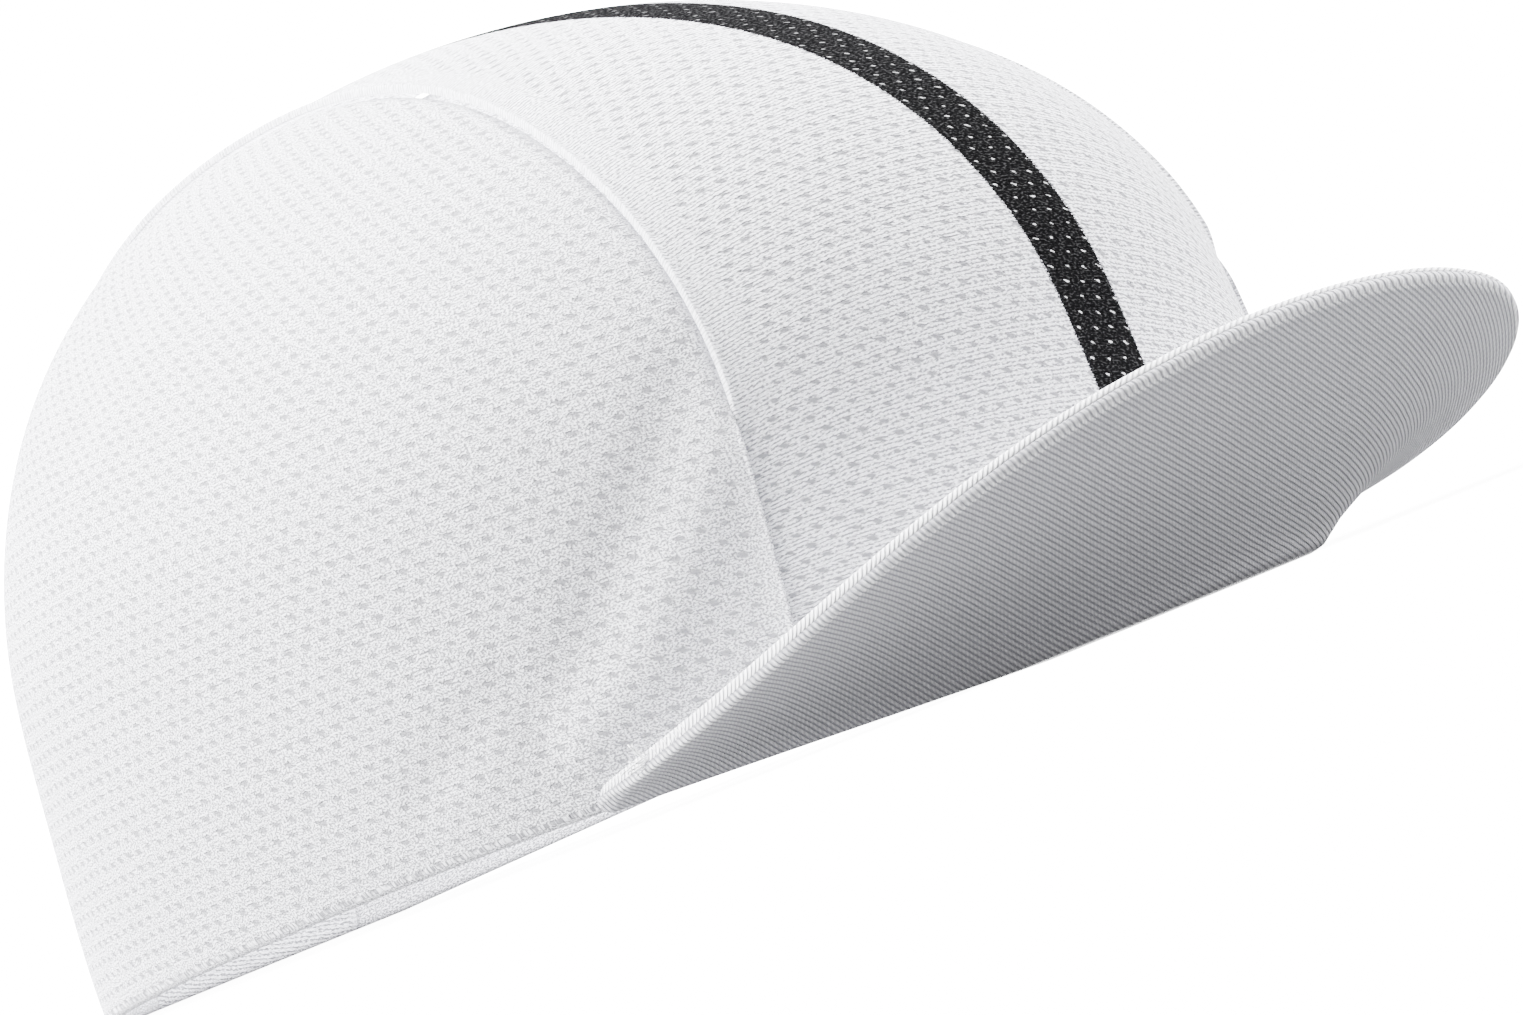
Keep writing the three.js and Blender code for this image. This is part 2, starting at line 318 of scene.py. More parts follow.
@dataclass
class Sheet:
    """A cut of cloth laid on a form, in the place of a CAD node.

    Attributes:
        name: the piece's name.
        node: the CAD node that it replaces.
        slot: the record's finish; not used.
        material: what it is dressed in.
        points: rows by columns by 3, the face side, in millimetres.
        flat: rows by columns by 2, the same places on the flat cloth, in millimetres.
        marks: named values from 0 to 1 for the finish, each rows by columns.
        thickness: the cloth's thickness, behind the face side, in millimetres.
        outward: gives a direction that the face side faces at a place.
    """

    name: str
    node: str
    slot: Slot
    material: bpy.types.Material
    points: np.ndarray
    flat: np.ndarray
    marks: dict[str, np.ndarray]
    thickness: float
    outward: Callable[[Vector], Vector]

    def _laid_grid(self) -> bmesh.types.BMesh:
        """A grid whose vertices are moved onto the form.

        Returns:
            The bmesh, with its cloth coordinates in the UV map named cloth.
        """
        rows, columns = self.points.shape[0] - 1, self.points.shape[1] - 1
        bm = bmesh.new()
        bmesh.ops.create_grid(bm, x_segments=columns, y_segments=rows, size=1.0)
        cloth = bm.loops.layers.uv.new("cloth")
        layers = {mark: bm.verts.layers.float.new(mark) for mark in self.marks}
        where: dict[int, tuple[int, int]] = {}
        for vert in bm.verts:
            where[vert.index] = round((vert.co.y + 1) / 2 * rows), round((vert.co.x + 1) / 2 * columns)
        for vert in bm.verts:
            place = where[vert.index]
            x, y, z = self.points[place]
            vert.co = (x * MM, (y + SHIFT_FRONT_BACK) * MM, z * MM)
            for mark, layer in layers.items():
                vert[layer] = float(self.marks[mark][place])
        for face in bm.faces:
            for loop in face.loops:
                loop[cloth].uv = self.flat[where[loop.vert.index]]
        return bm

    def size(self) -> tuple[tuple[float, float], float]:
        """How much cloth the cut takes, in metres.

        Returns:
            The flat cut's width and length, and its area.
        """
        places = self.flat.reshape(-1, 2)
        width, length = (places.max(0) - places.min(0)) * MM
        falling = self.points[1:, 1:] - self.points[:-1, :-1]
        climbing = self.points[1:, :-1] - self.points[:-1, 1:]
        area = float(np.linalg.norm(np.cross(falling, climbing), axis=-1).sum() / 2) * MM * MM
        return (float(width), float(length)), min(area, float(width * length) * 0.999)

    def build(self) -> bpy.types.Object:
        """Makes the piece and puts it in its node's place.

        Returns:
            The new object.
        """
        bm = self._laid_grid()
        bmesh.ops.remove_doubles(bm, verts=bm.verts[:], dist=2e-6)
        bm.normal_update()
        bm.faces.ensure_lookup_table()
        largest = max(bm.faces, key=lambda face: face.calc_area())
        if largest.normal.dot(self.outward(largest.calc_center_median())) < 0:
            bmesh.ops.reverse_faces(bm, faces=bm.faces[:])
        piece = new_piece(self.name, bm, self.material)
        thick = piece.modifiers.new("thickness", "SOLIDIFY")
        thick.thickness = self.thickness * MM
        thick.offset = -1.0
        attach(piece, "root")
        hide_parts(self.node)
        size, area = self.size()
        return piece


@dataclass
class Threads:
    """Sewing threads, each a short bent tube along points in millimetres, all in one piece."""

    name: str
    lines: list[np.ndarray]
    radius: float = 0.11
    sides: int = 6

    def build(self, material: bpy.types.Material) -> bpy.types.Object:
        """Makes the threads and dresses them.

        Args:
            material: the thread's finish.

        Returns:
            The new object.
        """
        bm = bmesh.new()
        for line in self.lines:
            self._tube(bm, line)
        bm.normal_update()
        return new_piece(self.name, bm, material)

    def _tube(self, bm: bmesh.types.BMesh, line: np.ndarray) -> None:
        """One thread: a ring of points at each place, bridged to the next, with closed ends.

        Args:
            bm: the bmesh that it is added to.
            line: its places.
        """
        places = [Vector((x * MM, (y + SHIFT_FRONT_BACK) * MM, z * MM)) for x, y, z in line]
        last = len(places) - 1
        edges_before: list[bmesh.types.BMEdge] = []
        for index, place in enumerate(places):
            ahead = places[min(index + 1, last)] - places[max(index - 1, 0)]
            turn = ahead.to_track_quat("Z", "Y").to_matrix().to_4x4()
            ring = bmesh.ops.create_circle(bm, cap_ends=index in (0, last), segments=self.sides,
                                           radius=self.radius * MM, matrix=Matrix.Translation(place) @ turn)
            verts = set(ring["verts"])
            touching = {edge for vert in verts for edge in vert.link_edges}
            edges = [edge for edge in touching if all(vert in verts for vert in edge.verts)]
            if edges_before:
                bmesh.ops.bridge_loops(bm, edges=edges_before + edges)
            edges_before = edges


# The knitted crown

@dataclass(frozen=True)
class Seam:
    """The cloth beside a seam, where one panel's turned-in edge lies over the other's, in millimetres.

    The groove's shares, the lip's lift and the crease's painted shade give a value at the front and how much
    more it is over the top.

    Attributes:
        switch_over: degrees over the top from which the centre panel lies on top, and half the change.
        groove_shares: how much of the groove's depth there is.
        allowance: width of the turned-in cloth of the centre panel, and the side panel's share of it.
        allowance_end: where that cloth starts to end and has ended, from its width.
        allowance_lift: how much it lifts the panel on top.
        lip_place: how far from the seam the folded edge stands up highest.
        tuck: how far the other panel goes under, and how wide.
        line: how dark the painted shadow line in the seam's groove is, and its width on the centre's and on
            the side's part.
        crease_shade_strength: how dark the painted shade in the crease beside the panel on top is.
        edge: how plain the folded edge is, which is smoother cloth and partly a painted highlight, since it
            takes the stitches' painted shade off, and where that starts to end and has ended.
        allowance_plain: how plain the panel on top is beyond its edge.
    """

    switch_over: tuple[float, float] = (28.5, 3.0)
    groove_depth: float = 1.5
    groove_width: float = 0.20
    groove_shares: tuple[float, float] = (0.5, -0.3)
    allowance: tuple[float, float] = (6.5, 0.65)
    allowance_end: tuple[float, float] = (-2.2, 0.6)
    allowance_lift: float = 0.42
    lip_place: float = 0.6
    lip_width: float = 0.42
    lip_lift: tuple[float, float] = (0.42, 0.35)
    tuck: tuple[float, float] = (0.5, 2.0)
    line: tuple[float, float, float] = (0.9, 0.28, 0.16)
    crease_shade_strength: tuple[float, float] = (0.5, 0.25)
    crease_shade_width: tuple[float, float] = (1.1, 0.5)
    edge: tuple[float, float, float] = (0.72, 0.5, 1.05)
    allowance_plain: float = 0.5

    def profile(self, reach: np.ndarray, over: np.ndarray, centre: bool) -> tuple[np.ndarray, ...]:
        """How the cloth lies and looks on one side of the seam.

        Args:
            reach: distance from the seam in millimetres.
            over: degrees over the top.
            centre: whether this is the centre panel's side of the seam.

        Returns:
            The depth under the skin, how plain the cloth is, and how much painted shade it gets in the seam's
            groove and crease.
        """
        switch, change = self.switch_over
        upper = smoothstep(switch - change, switch + change, over)
        groove_share, lip_lift, crease_shade_strength, crease_shade_width = (
            at_front + more * upper
            for at_front, more in (self.groove_shares, self.lip_lift, self.crease_shade_strength, self.crease_shade_width)
        )
        held = upper if centre else 1 - upper
        allowance = self.allowance[0] * (1.0 if centre else self.allowance[1])
        groove = self.groove_depth * groove_share * bell(reach, self.groove_width)
        shelf = 1 - smoothstep(allowance + self.allowance_end[0], allowance + self.allowance_end[1], reach)
        lip = bell(reach - self.lip_place, self.lip_width)
        raised = held * (self.allowance_lift * shelf + lip_lift * lip)
        depth = groove - raised + (1 - held) * self.tuck[0] * bell(reach, self.tuck[1])
        # Painted shadow in the lower seam's groove, and painted shade in the crease beside the panel on top:
        # both only darken the cloth's colour.
        line = self.line[0] * (1 - upper) * bell(reach, self.line[1] if centre else self.line[2])
        crease_shade = line + (1 - held) * crease_shade_strength * bell(reach, crease_shade_width)
        # The folded edge over the top is kept plain: smoother cloth, and partly a painted highlight, as less
        # of the stitches' painted shade lightens it.
        edge = self.edge[0] * (1 - smoothstep(self.edge[1], self.edge[2], reach))
        return depth, held * np.maximum(self.allowance_plain * shelf, edge * upper), np.minimum(crease_shade, 1.0)


@dataclass
class Crown:
    """Three knitted panels that meet at two seams and turn under at the hem.

    Attributes:
        roll: radius of the hem's turned edge.
        fold: how far the hem is turned up inside.
        mean_radius: turns degrees aside into a length.
        near_seam: distances from the seam at which the panels have points.
        hem_plain: how plain the hem's turned cloth is at least.
    """

    form: CrownForm
    knit: bpy.types.Material
    striped: bpy.types.Material
    seam: Seam = Seam()
    thickness: float = 0.95
    roll: float = 1.25
    fold: float = 12.5
    mean_radius: float = 92.0
    near_seam: tuple[float, ...] = (0, 0.07, 0.14, 0.22, 0.32, 0.45, 0.62, 0.85, 1.15, 1.6, 2.2, 3.0, 4.0,
                                    5.0, 6.0, 7.2)
    hem_plain: float = 0.45
    hem_rows: int = 26
    centre_rows: int = 330
    centre_columns: int = 25
    side_rows: int = 260
    side_columns: int = 100

    def hem_path(self, share: np.ndarray) -> tuple[np.ndarray, np.ndarray]:
        """The way of the cloth round the turned hem.

        Args:
            share: 0 at the hem's face, 1 at the end of the fold inside.

        Returns:
            The depth under the skin and the height above the hem.
        """
        arc = math.pi * self.roll
        run = share * (arc + self.fold - self.roll)
        angle = np.minimum(run, arc) / self.roll
        depth = self.roll * (1 - np.cos(angle)) + 0.1 * smoothstep(arc, arc + 6, run)
        height = np.where(run < arc, self.roll * (1 - np.sin(angle)), self.roll + run - arc)
        return depth, height

    def _above_roll(self, aside: np.ndarray) -> np.ndarray:
        """Degrees over the top at which a place so far aside is as high as the hem's roll."""
        return np.degrees(np.arcsin(np.minimum(self.roll / self.form.rise / np.cos(np.radians(aside)), 1.0)))

    def _marks(self, plain: np.ndarray, crease_shade: np.ndarray,
               hems: tuple[tuple[int, int], ...]) -> dict[str, np.ndarray]:
        """A panel's marks, carried on round its hems.

        Args:
            plain: how plain the face is.
            crease_shade: how much painted shade it gets in the seam's groove and crease.
            hems: how many rows and columns the hems add at each end.

        Returns:
            The marks by name.
        """
        least = np.pad(np.zeros_like(plain), hems, constant_values=self.hem_plain)
        plain, crease_shade = np.pad(plain, hems, "edge"), np.pad(crease_shade, hems, "edge")
        return {"plain": np.maximum(plain, least), "crease_shade": crease_shade}

    def centre(self) -> bpy.types.Object:
        """The panel over the middle, with the printed stripe.

        Returns:
            The new object.
        """
        over = np.linspace(0.0, 180.0, self.centre_rows + 1)
        half_length = np.radians(self.form.seam_aside(over)) * self.mean_radius
        near, inner = np.array(self.near_seam), np.linspace(0, 1, self.centre_columns + 1)[1:]
        share = np.stack([np.concatenate([near / half, near[-1] / half + (1 - near[-1] / half) * inner])
                          for half in half_length])
        share = np.concatenate([share, 2 - share[:, -2::-1]], axis=1) - 1
        aside = self.form.seam_aside(over)[:, None] * share
        begin = self._above_roll(aside)
        over = begin + (180 - 2 * begin) * (over / 180.0)[:, None]
        depth, plain, crease_shade = self.seam.profile((1 - np.abs(share)) * half_length[:, None], over, True)
        towards = over_and_aside(over, aside)
        turn = np.linspace(0, 1, self.hem_rows + 1)[1:, None]
        path_depth, path_height = self.hem_path(turn)
        fading = 1 - smoothstep(0, 0.5, turn)
        front, back = (
            self.form.point(self.form.level(around[None, :], path_height), path_depth + edge * fading)
            for around, edge in ((aside[0], depth[0]), (180 - aside[-1], depth[-1]))
        )
        points = np.concatenate([front[::-1], self.form.point(towards, depth), back])
        smooth = np.concatenate([front[::-1], self.form.skin(towards), back])
        middle = points.shape[1] // 2
        across = run_length(smooth, 1)
        across = across - across[:, middle:middle + 1]
        along = run_length(smooth, 0)[:, middle:middle + 1] + np.zeros_like(across)
        flat = np.stack([across, along - along[self.hem_rows]], axis=-1)
        marks = self._marks(plain, crease_shade, ((self.hem_rows, self.hem_rows), (0, 0)))
        return Sheet("centre_panel_knit", "crown_centre_panel", Slot.STRIPED, self.striped, points, flat,
                     marks, self.thickness, away_from_head).build()

    def _side_lines(self, at_seam: np.ndarray, at_hem: np.ndarray) -> tuple[np.ndarray, np.ndarray]:
        """Places along the lines of a side panel from its seam to its hem, close together near the seam.

        Args:
            at_seam: each line's direction at the seam.
            at_hem: each line's direction at the hem.

        Returns:
            Lines by places, as shares of each line's length, and the lengths in millimetres.
        """
        stops = [self.form.skin(direction) for direction in (at_seam, unit(at_seam + at_hem), at_hem)]
        length = sum(np.linalg.norm(after - before, axis=-1) for before, after in zip(stops, stops[1:]))
        length = np.maximum(length, 1e-6)
        near, inner = np.array(self.near_seam), np.linspace(0, 1, self.side_columns + 1)[1:]
        shares = []
        for run in length:
            close = near * min(1.0, run / (4 * near[-1]))
            shares.append(np.concatenate([close, close[-1] + (run - close[-1]) * inner]) / run)
        return np.stack(shares), length[:, None]

    def side(self, side: Side) -> bpy.types.Object:
        """A side panel, from its seam down to the hem; only the right one has folds.

        Args:
            side: the wearer's side.

        Returns:
            The new object.
        """
        along = np.linspace(0.0, 1.0, self.side_rows + 1)
        first, last = self.form.seam[0], self.form.seam[-1]
        begin, end = self._above_roll(first), self._above_roll(last)
        over = begin + (180.0 - begin - end) * along
        at_seam = over_and_aside(over, self.form.seam_aside(over))
        around = first + (180.0 - last - first) * along
        at_hem = self.form.level(around, self.roll)
        share, length = self._side_lines(at_seam, at_hem)
        towards = unit(at_seam[:, None, :] * (1 - share[..., None]) + at_hem[:, None, :] * share[..., None])
        depth, plain, crease_shade = self.seam.profile(share * length, over[:, None], False)
        lowered = depth * smoothstep(0.0, 6.0, length)
        lowered[:, 0] = depth[:, 0]
        face = self.form.point(towards, lowered, side is Side.RIGHT)
        path_depth, path_height = self.hem_path(np.linspace(0, 1, self.hem_rows + 1)[None, 1:])
        under = self.form.point(self.form.level(around[:, None], path_height), path_depth)
        points = np.concatenate([face, under], axis=1) * np.array([side.value, 1.0, 1.0])
        below = self.form.level(around[:, None], path_height * 0)
        flat = self._side_cloth(np.concatenate([towards, below], axis=1))
        columns = face.shape[1]
        flat[:, columns:, 1] = flat[:, columns - 1:columns, 1] - run_length(under, 1)
        marks = self._marks(plain, crease_shade, ((0, 0), (0, self.hem_rows)))
        name = side.name.lower()
        return Sheet(f"side_panel_{name}_knit", f"crown_side_panel_{name}", Slot.KNIT, self.knit,
                     points, flat, marks, self.thickness, away_from_head).build()

    def _side_cloth(self, towards: np.ndarray) -> np.ndarray:
        """Flat cloth coordinates of a side panel: its knitted rows run level round the head.

        Args:
            towards: rows by columns by 3, directions from the middle of the hem.

        Returns:
            Rows by columns by 2, in millimetres.
        """
        up_table, around_table, ear = np.arange(89.0), np.arange(181.0), 90
        skin = self.form.skin(around_and_up(around_table[None, :], up_table[:, None]))
        table = run_length(skin, 1)
        table = table - table[:, ear:ear + 1]
        up = np.degrees(np.arcsin(np.clip(towards[..., 2], 0, 1)))
        around = np.degrees(np.arctan2(-towards[..., 0], -towards[..., 1]))
        row, row_share = np.divmod(np.clip(up, 0, 87.999), 1)
        place, place_share = np.divmod(np.clip(around, 0, 179.999), 1)
        row, place = row.astype(int), place.astype(int)
        lower = table[row, place] * (1 - place_share) + table[row, place + 1] * place_share
        upper = table[row + 1, place] * (1 - place_share) + table[row + 1, place + 1] * place_share
        across = lower * (1 - row_share) + upper * row_share
        return np.stack([across, np.interp(up, up_table, run_length(skin, 0)[:, ear])], axis=-1)

    def build(self) -> list[bpy.types.Object]:
        """Makes the three panels."""
        return [self.centre(), self.side(Side.RIGHT), self.side(Side.LEFT)]


# The peak

@dataclass(frozen=True)
class PeakLines:
    """Lines of the peak from the hem to its free edge.

    Attributes:
        around: degrees around of each line's foot.
        foot: its place on the hem.
        level: the level direction in which it runs out.
        edge: its place on the free edge.
        length: millimetres from foot to edge.
        normal: the direction up from the underside.
        flatness: the cosine of its rise.
    """

    around: np.ndarray
    foot: np.ndarray
    level: np.ndarray
    edge: np.ndarray
    length: np.ndarray
    normal: np.ndarray
    flatness: np.ndarray


@dataclass(frozen=True)
class PeakForm:
    """The turned-up peak, measured back from its free edge and up from its underside, in millimetres.

    Attributes:
        half_span: degrees around from its middle to an end.
        raise_deg: the middle's rise in degrees, which side_droop takes down towards the ends.
        forward: how far the lines run straight ahead, as a share; at 0 they run out from the hem.
        lean: how much higher the right side stands.
        sink: how far the root goes into the crown's wall.
    """

    crown: CrownForm
    length: float = 49.0
    half_span: float = 68.0
    raise_deg: float = 38.0
    side_droop: float = 32.0
    forward: float = 0.7
    bluntness: float = 4.0
    lean: float = 3.5
    seat: float = 0.6
    sink: float = 0.8
    thickness: float = 2.7
    edge_thickness: float = 2.15
    edge_taper: float = 7.0

    def lines(self, share: np.ndarray) -> PeakLines:
        """The lines from the hem to the free edge.

        Args:
            share: -1 at the left end and 1 at the right end.

        Returns:
            The lines, one for each share.
        """
        around = self.half_span * share
        foot = self.crown.point(around_and_up(around, 0 * around), 0.0)
        slope = np.stack([foot[..., 0] / self.crown.hem_side ** 2, foot[..., 1] / self.crown.hem_front ** 2,
                          0 * share], axis=-1)
        level = unit(unit(slope) * (1 - self.forward) + np.array([0.0, -1.0, 0.0]) * self.forward)
        rise = np.radians(self.raise_deg - self.side_droop * share * share)
        outline = np.sqrt(np.maximum(0.0, 1 - np.abs(share) ** self.bluntness))
        length = self.length * outline
        up = np.array([0.0, 0.0, 1.0])
        height = self.seat + length * np.sin(rise) - self.lean * outline * foot[..., 0] / self.crown.hem_side
        edge = foot + level * (length * np.cos(rise))[..., None] + up * height[..., None]
        normal = -level * np.sin(rise)[..., None] + up * np.cos(rise)[..., None]
        return PeakLines(around, foot, level, edge, length, normal, np.cos(rise))

    def point(self, lines: PeakLines, back: np.ndarray, layer: np.ndarray) -> np.ndarray:
        """Points of the peak.

        Args:
            lines: one line for each row.
            back: rows by columns, millimetres back from the free edge.
            layer: rows by columns, millimetres up from the underside.

        Returns:
            Rows by columns by 3.
        """
        height = self.seat + layer / lines.flatness[:, None]
        root = self.crown.point(self.crown.level(lines.around[:, None] + 0 * height, height), self.sink)
        edge = lines.edge[:, None, :] + lines.normal[:, None, :] * layer[..., None]
        inset = (back / np.maximum(lines.length[:, None], 1e-6))[..., None]
        return edge * (1 - inset) + root * inset

    def flat(self, lines: PeakLines, points: np.ndarray) -> np.ndarray:
        """The same places on the flat cloth, each as far out as the cloth runs."""
        out = run_length(points, 1)[..., None]
        return -(lines.foot[:, None, :2] + lines.level[:, None, :2] * out)


@dataclass
class Peak:
    """Two twill covers that meet in a seam along the free edge.

    Attributes:
        seam_angle: degrees round the edge, from its top, at which the covers meet.
        seam_turn: how much further round they meet at the left end.
        groove: depth of the seam, and groove_width its width.
        root_turn: how far the under cover is turned down at its root, and root_reach how far out.
        end_reach: length of the lines at the peak's ends over which it gets its full thickness.
        bunching: how much closer together the points of a cover are near the edge.
        rim_reach: distances from the edge at which the rim's look starts to end and has ended.
    """

    form: PeakForm
    twill: bpy.types.Material
    shaded_under_twill: bpy.types.Material
    thickness: float = 0.55
    seam_angle: float = 130.0
    seam_turn: float = 44.0
    groove: float = 0.46
    groove_width: float = 0.26
    crease_shade_width: float = 0.36
    root_turn: float = 0.5
    root_reach: float = 4.0
    end_reach: float = 12.0
    bunching: float = 1.8
    rim_reach: tuple[float, float] = (1.3, 2.1)
    rows: int = 420
    columns: int = 43
    edge_columns: int = 15

    def _section(self, lines: PeakLines, top: bool) -> tuple[np.ndarray, np.ndarray, dict[str, np.ndarray]]:
        """A cover from the crown to the edge seam.

        Args:
            lines: one line for each row.
            top: the upper cover, or else the one underneath.

        Returns:
            The distance back from the free edge, the height above the underside, and the marks by name.
        """
        length = lines.length[:, None]
        middle = self.form.thickness / 2
        end = 0.3 + 0.7 * smoothstep(0.0, self.end_reach, length)
        radius = np.minimum(self.form.edge_thickness / 2 * end, 0.45 * length + 1e-4)
        seam = self.seam_angle + self.seam_turn * smoothstep(0.0, 60.0, -lines.around[:, None])
        first = 0.0 if top else 180.0
        angle = np.radians(first + (seam - first) * np.linspace(0, 1, self.edge_columns)[None, :])
        share = np.linspace(1, 0, self.columns + 1)[None, :-1]
        flat_back = length + (radius - length) * (1 - share ** self.bunching)
        off_flat = np.radians(np.abs(first - seam)) * radius + flat_back - radius
        off = np.concatenate([off_flat, np.abs(angle - np.radians(seam)) * radius], 1)
        sink = np.minimum(self.groove * bell(off, self.groove_width), 0.5 * radius)
        flat_sink, round_sink = sink[:, :self.columns], sink[:, self.columns:]
        round_back = radius - (radius - round_sink) * np.sin(angle)
        round_layer = middle + (radius - round_sink) * np.cos(angle)
        full = smoothstep(0.0, self.form.edge_taper, flat_back - radius)
        apart = radius + (middle * end - radius) * full - flat_sink
        turned = self.root_turn * (1 - smoothstep(0.0, self.root_reach, length - flat_back))
        flat_layer = middle + (apart if top else -apart - turned)
        back = np.concatenate([flat_back, round_back], 1)
        # The crease mark is painted shade along the edge seam's groove; the rim mark marks the rolled rim,
        # where the under cover keeps its white.
        marks = {"crease_shade": bell(off, self.crease_shade_width), "rim": 1 - smoothstep(*self.rim_reach, back)}
        return back, np.concatenate([flat_layer, round_layer], 1), marks

    def cover(self, top: bool) -> bpy.types.Object:
        """One cover.

        Args:
            top: the upper cover, or else the one underneath.

        Returns:
            The new object.
        """
        lines = self.form.lines(np.sin(np.linspace(-1, 1, self.rows + 1) * math.pi / 2))
        back, layer, marks = self._section(lines, top)
        points = self.form.point(lines, back, layer)
        name = "top" if top else "under"
        out = Vector((0, 0.6, 0.8)) if top else Vector((0, -0.6, -0.8))
        # The under cover wears a copy of the white twill whose crest and valley are greyed as painted shade
        # of the underside.
        material = self.twill if top else self.shaded_under_twill
        return Sheet(f"peak_{name}_twill", f"peak_{name}_cover", Slot.TWILL, material, points,
                     self.form.flat(lines, points), marks, self.thickness, lambda place: out).build()

    def build(self) -> list[bpy.types.Object]:
        """Makes both covers."""
        return [self.cover(True), self.cover(False)]


@dataclass
class PeakEnds:
    """The bar tack over each end of the peak's edge seam, and the frayed ends of the threads.

    Attributes:
        stitches: how many stitches a tack has.
        first: where the first one lies, as a share of the way from the peak's middle to its end.
        step: the share from one to the next.
        loose: how many frayed ends there are.
        lowest: how low a frayed end may hang, in millimetres above the surface.
    """

    form: PeakForm
    thread: bpy.types.Material
    stitches: int = 7
    first: float = 0.955
    step: float = 0.0035
    loose: int = 9
    lowest: float = 0.2

    def _tack(self, sign: float) -> list[np.ndarray]:
        """Close stitches over the edge's roll.

        Args:
            sign: the wearer's side.

        Returns:
            The stitches' lines.
        """
        angle = np.radians(np.linspace(25.0, 165.0, 8))[None, :]
        radius = self.form.edge_thickness / 2 + 0.06
        back = radius - radius * np.sin(angle)
        layer = self.form.thickness / 2 + radius * np.cos(angle)
        shares = [np.array([sign * (self.first + self.step * index)]) for index in range(self.stitches)]
        return [self.form.point(self.form.lines(share), back, layer)[0] for share in shares]

    def _frayed(self, sign: float, chance: np.random.Generator) -> list[np.ndarray]:
        """Short loose ends that curl away from the tack.

        Args:
            sign: the wearer's side.
            chance: where the random numbers come from.

        Returns:
            The ends' lines.
        """
        lines = self.form.lines(np.array([sign * (self.first + self.step * self.stitches)]))
        start = self.form.point(lines, np.array([[0.6]]), np.array([[self.form.thickness / 2]]))[0, 0]
        away = unit(np.array([start[0], start[1] * 0.6, 0.0]))
        along = np.array([away[1], -away[0], 0.0]) * sign
        if along[1] < 0:
            along = -along
        up = np.array([0.0, 0.0, 1.0])
        run = np.linspace(0.0, 1.0, 7)[:, None]
        ends = []
        for _ in range(self.loose):
            lean = chance.uniform((0.2, 0.2, -0.5), (0.7, 1.2, 1.1))
            towards = unit(away * lean[0] + along * lean[1] + up * lean[2])
            curl = chance.uniform(-0.5, 0.5, 3)
            length = chance.uniform(1.8, 4.4)
            spread = chance.uniform(-0.5, 0.5, 3)
            end = start + spread + towards * run * length + curl * run * run * length * 0.5
            end[:, 2] = np.maximum(end[:, 2], self.lowest)
            ends.append(end)
        return ends

    def build(self) -> list[bpy.types.Object]:
        """Makes the threads of both ends.

        Returns:
            The new objects.
        """
        pieces = []
        for side in Side:
            chance = np.random.default_rng(11 + side.value)
            lines = self._tack(side.value) + self._frayed(side.value, chance)
            piece = Threads(f"peak_end_threads_{side.name.lower()}", lines).build(self.thread)
            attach(piece, "root")
            pieces.append(piece)
        return pieces


# Node trees

class Value:
    """A number, vector or colour that a node tree works out; numbers go together by the usual signs."""

    def __init__(self, tree: "Tree", socket: bpy.types.NodeSocket) -> None:
        """Holds the socket that gives it."""
        self.tree = tree
        self.socket = socket

    def __add__(self, other: Link) -> "Value":
        """The sum."""
        return self.tree.math("ADD", self, other)

    def __sub__(self, other: Link) -> "Value":
        """The difference."""
        return self.tree.math("SUBTRACT", self, other)

    def __rsub__(self, other: float) -> "Value":
        """The difference from a plain number."""
        return self.tree.math("SUBTRACT", other, self)

    def __mul__(self, other: Link) -> "Value":
        """The product."""
        return self.tree.math("MULTIPLY", self, other)

    def __truediv__(self, other: Link) -> "Value":
        """The quotient."""
        return self.tree.math("DIVIDE", self, other)

    def __abs__(self) -> "Value":
        """The number without its sign."""
        return self.tree.math("ABSOLUTE", self)


class Tree:
    """A short way to write a node tree."""

    def __init__(self, tree: bpy.types.NodeTree) -> None:
        """Holds the tree."""
        self.tree = tree

    def plug(self, socket: bpy.types.NodeSocket, value: Link) -> None:
        """Links a socket to a value, or sets its own.

        Args:
            socket: the input.
            value: what it gets; a colour has three parts.
        """
        if isinstance(value, Value):
            self.tree.links.new(value.socket, socket)
        else:
            socket.default_value = (*value, 1.0) if socket.type == "RGBA" else value

    def result(self, kind: str, inputs: dict[Union[int, str], Link], output: Union[int, str] = 0,
               **settings: Union[str, bool]) -> Value:
        """Adds a node and reads it.

        Args:
            kind: the node's type, without its first word ShaderNode.
            inputs: values for its inputs, by place or name.
            output: the output that is read, by place or name.
            settings: its properties.

        Returns:
            The output's value.
        """
        node = self.tree.nodes.new("ShaderNode" + kind)
        for name, setting in settings.items():
            setattr(node, name, setting)
        for place, value in inputs.items():
            self.plug(node.inputs[place], value)
        return Value(self, node.outputs[output])

    def math(self, operation: str, *values: Link, clamp: bool = False) -> Value:
        """A Math node."""
        return self.result("Math", dict(enumerate(values)), operation=operation, use_clamp=clamp)

    def ramp(self, value: Link, low: float, high: float, to_low: float = 0.0, to_high: float = 1.0) -> Value:
        """A smooth step between two values."""
        inputs = {"Value": value, "From Min": low, "From Max": high, "To Min": to_low, "To Max": to_high}
        return self.result("MapRange", inputs, "Result", interpolation_type="SMOOTHSTEP")

    def parts(self, kind: str, value: Value) -> list[Value]:
        """A vector's or a colour's three parts, by a node that separates them."""
        sockets = self.result(kind, {0: value}).socket.node.outputs[:3]
        return [Value(self, socket) for socket in sockets]

    def place(self, name: str) -> Value:
        """A Texture Coordinate node's output."""
        return self.result("TexCoord", {}, name)

    def dot(self, one: Link, other: Link) -> Value:
        """The dot product of two vectors."""
        return self.result("VectorMath", {0: one, 1: other}, "Value", operation="DOT_PRODUCT")


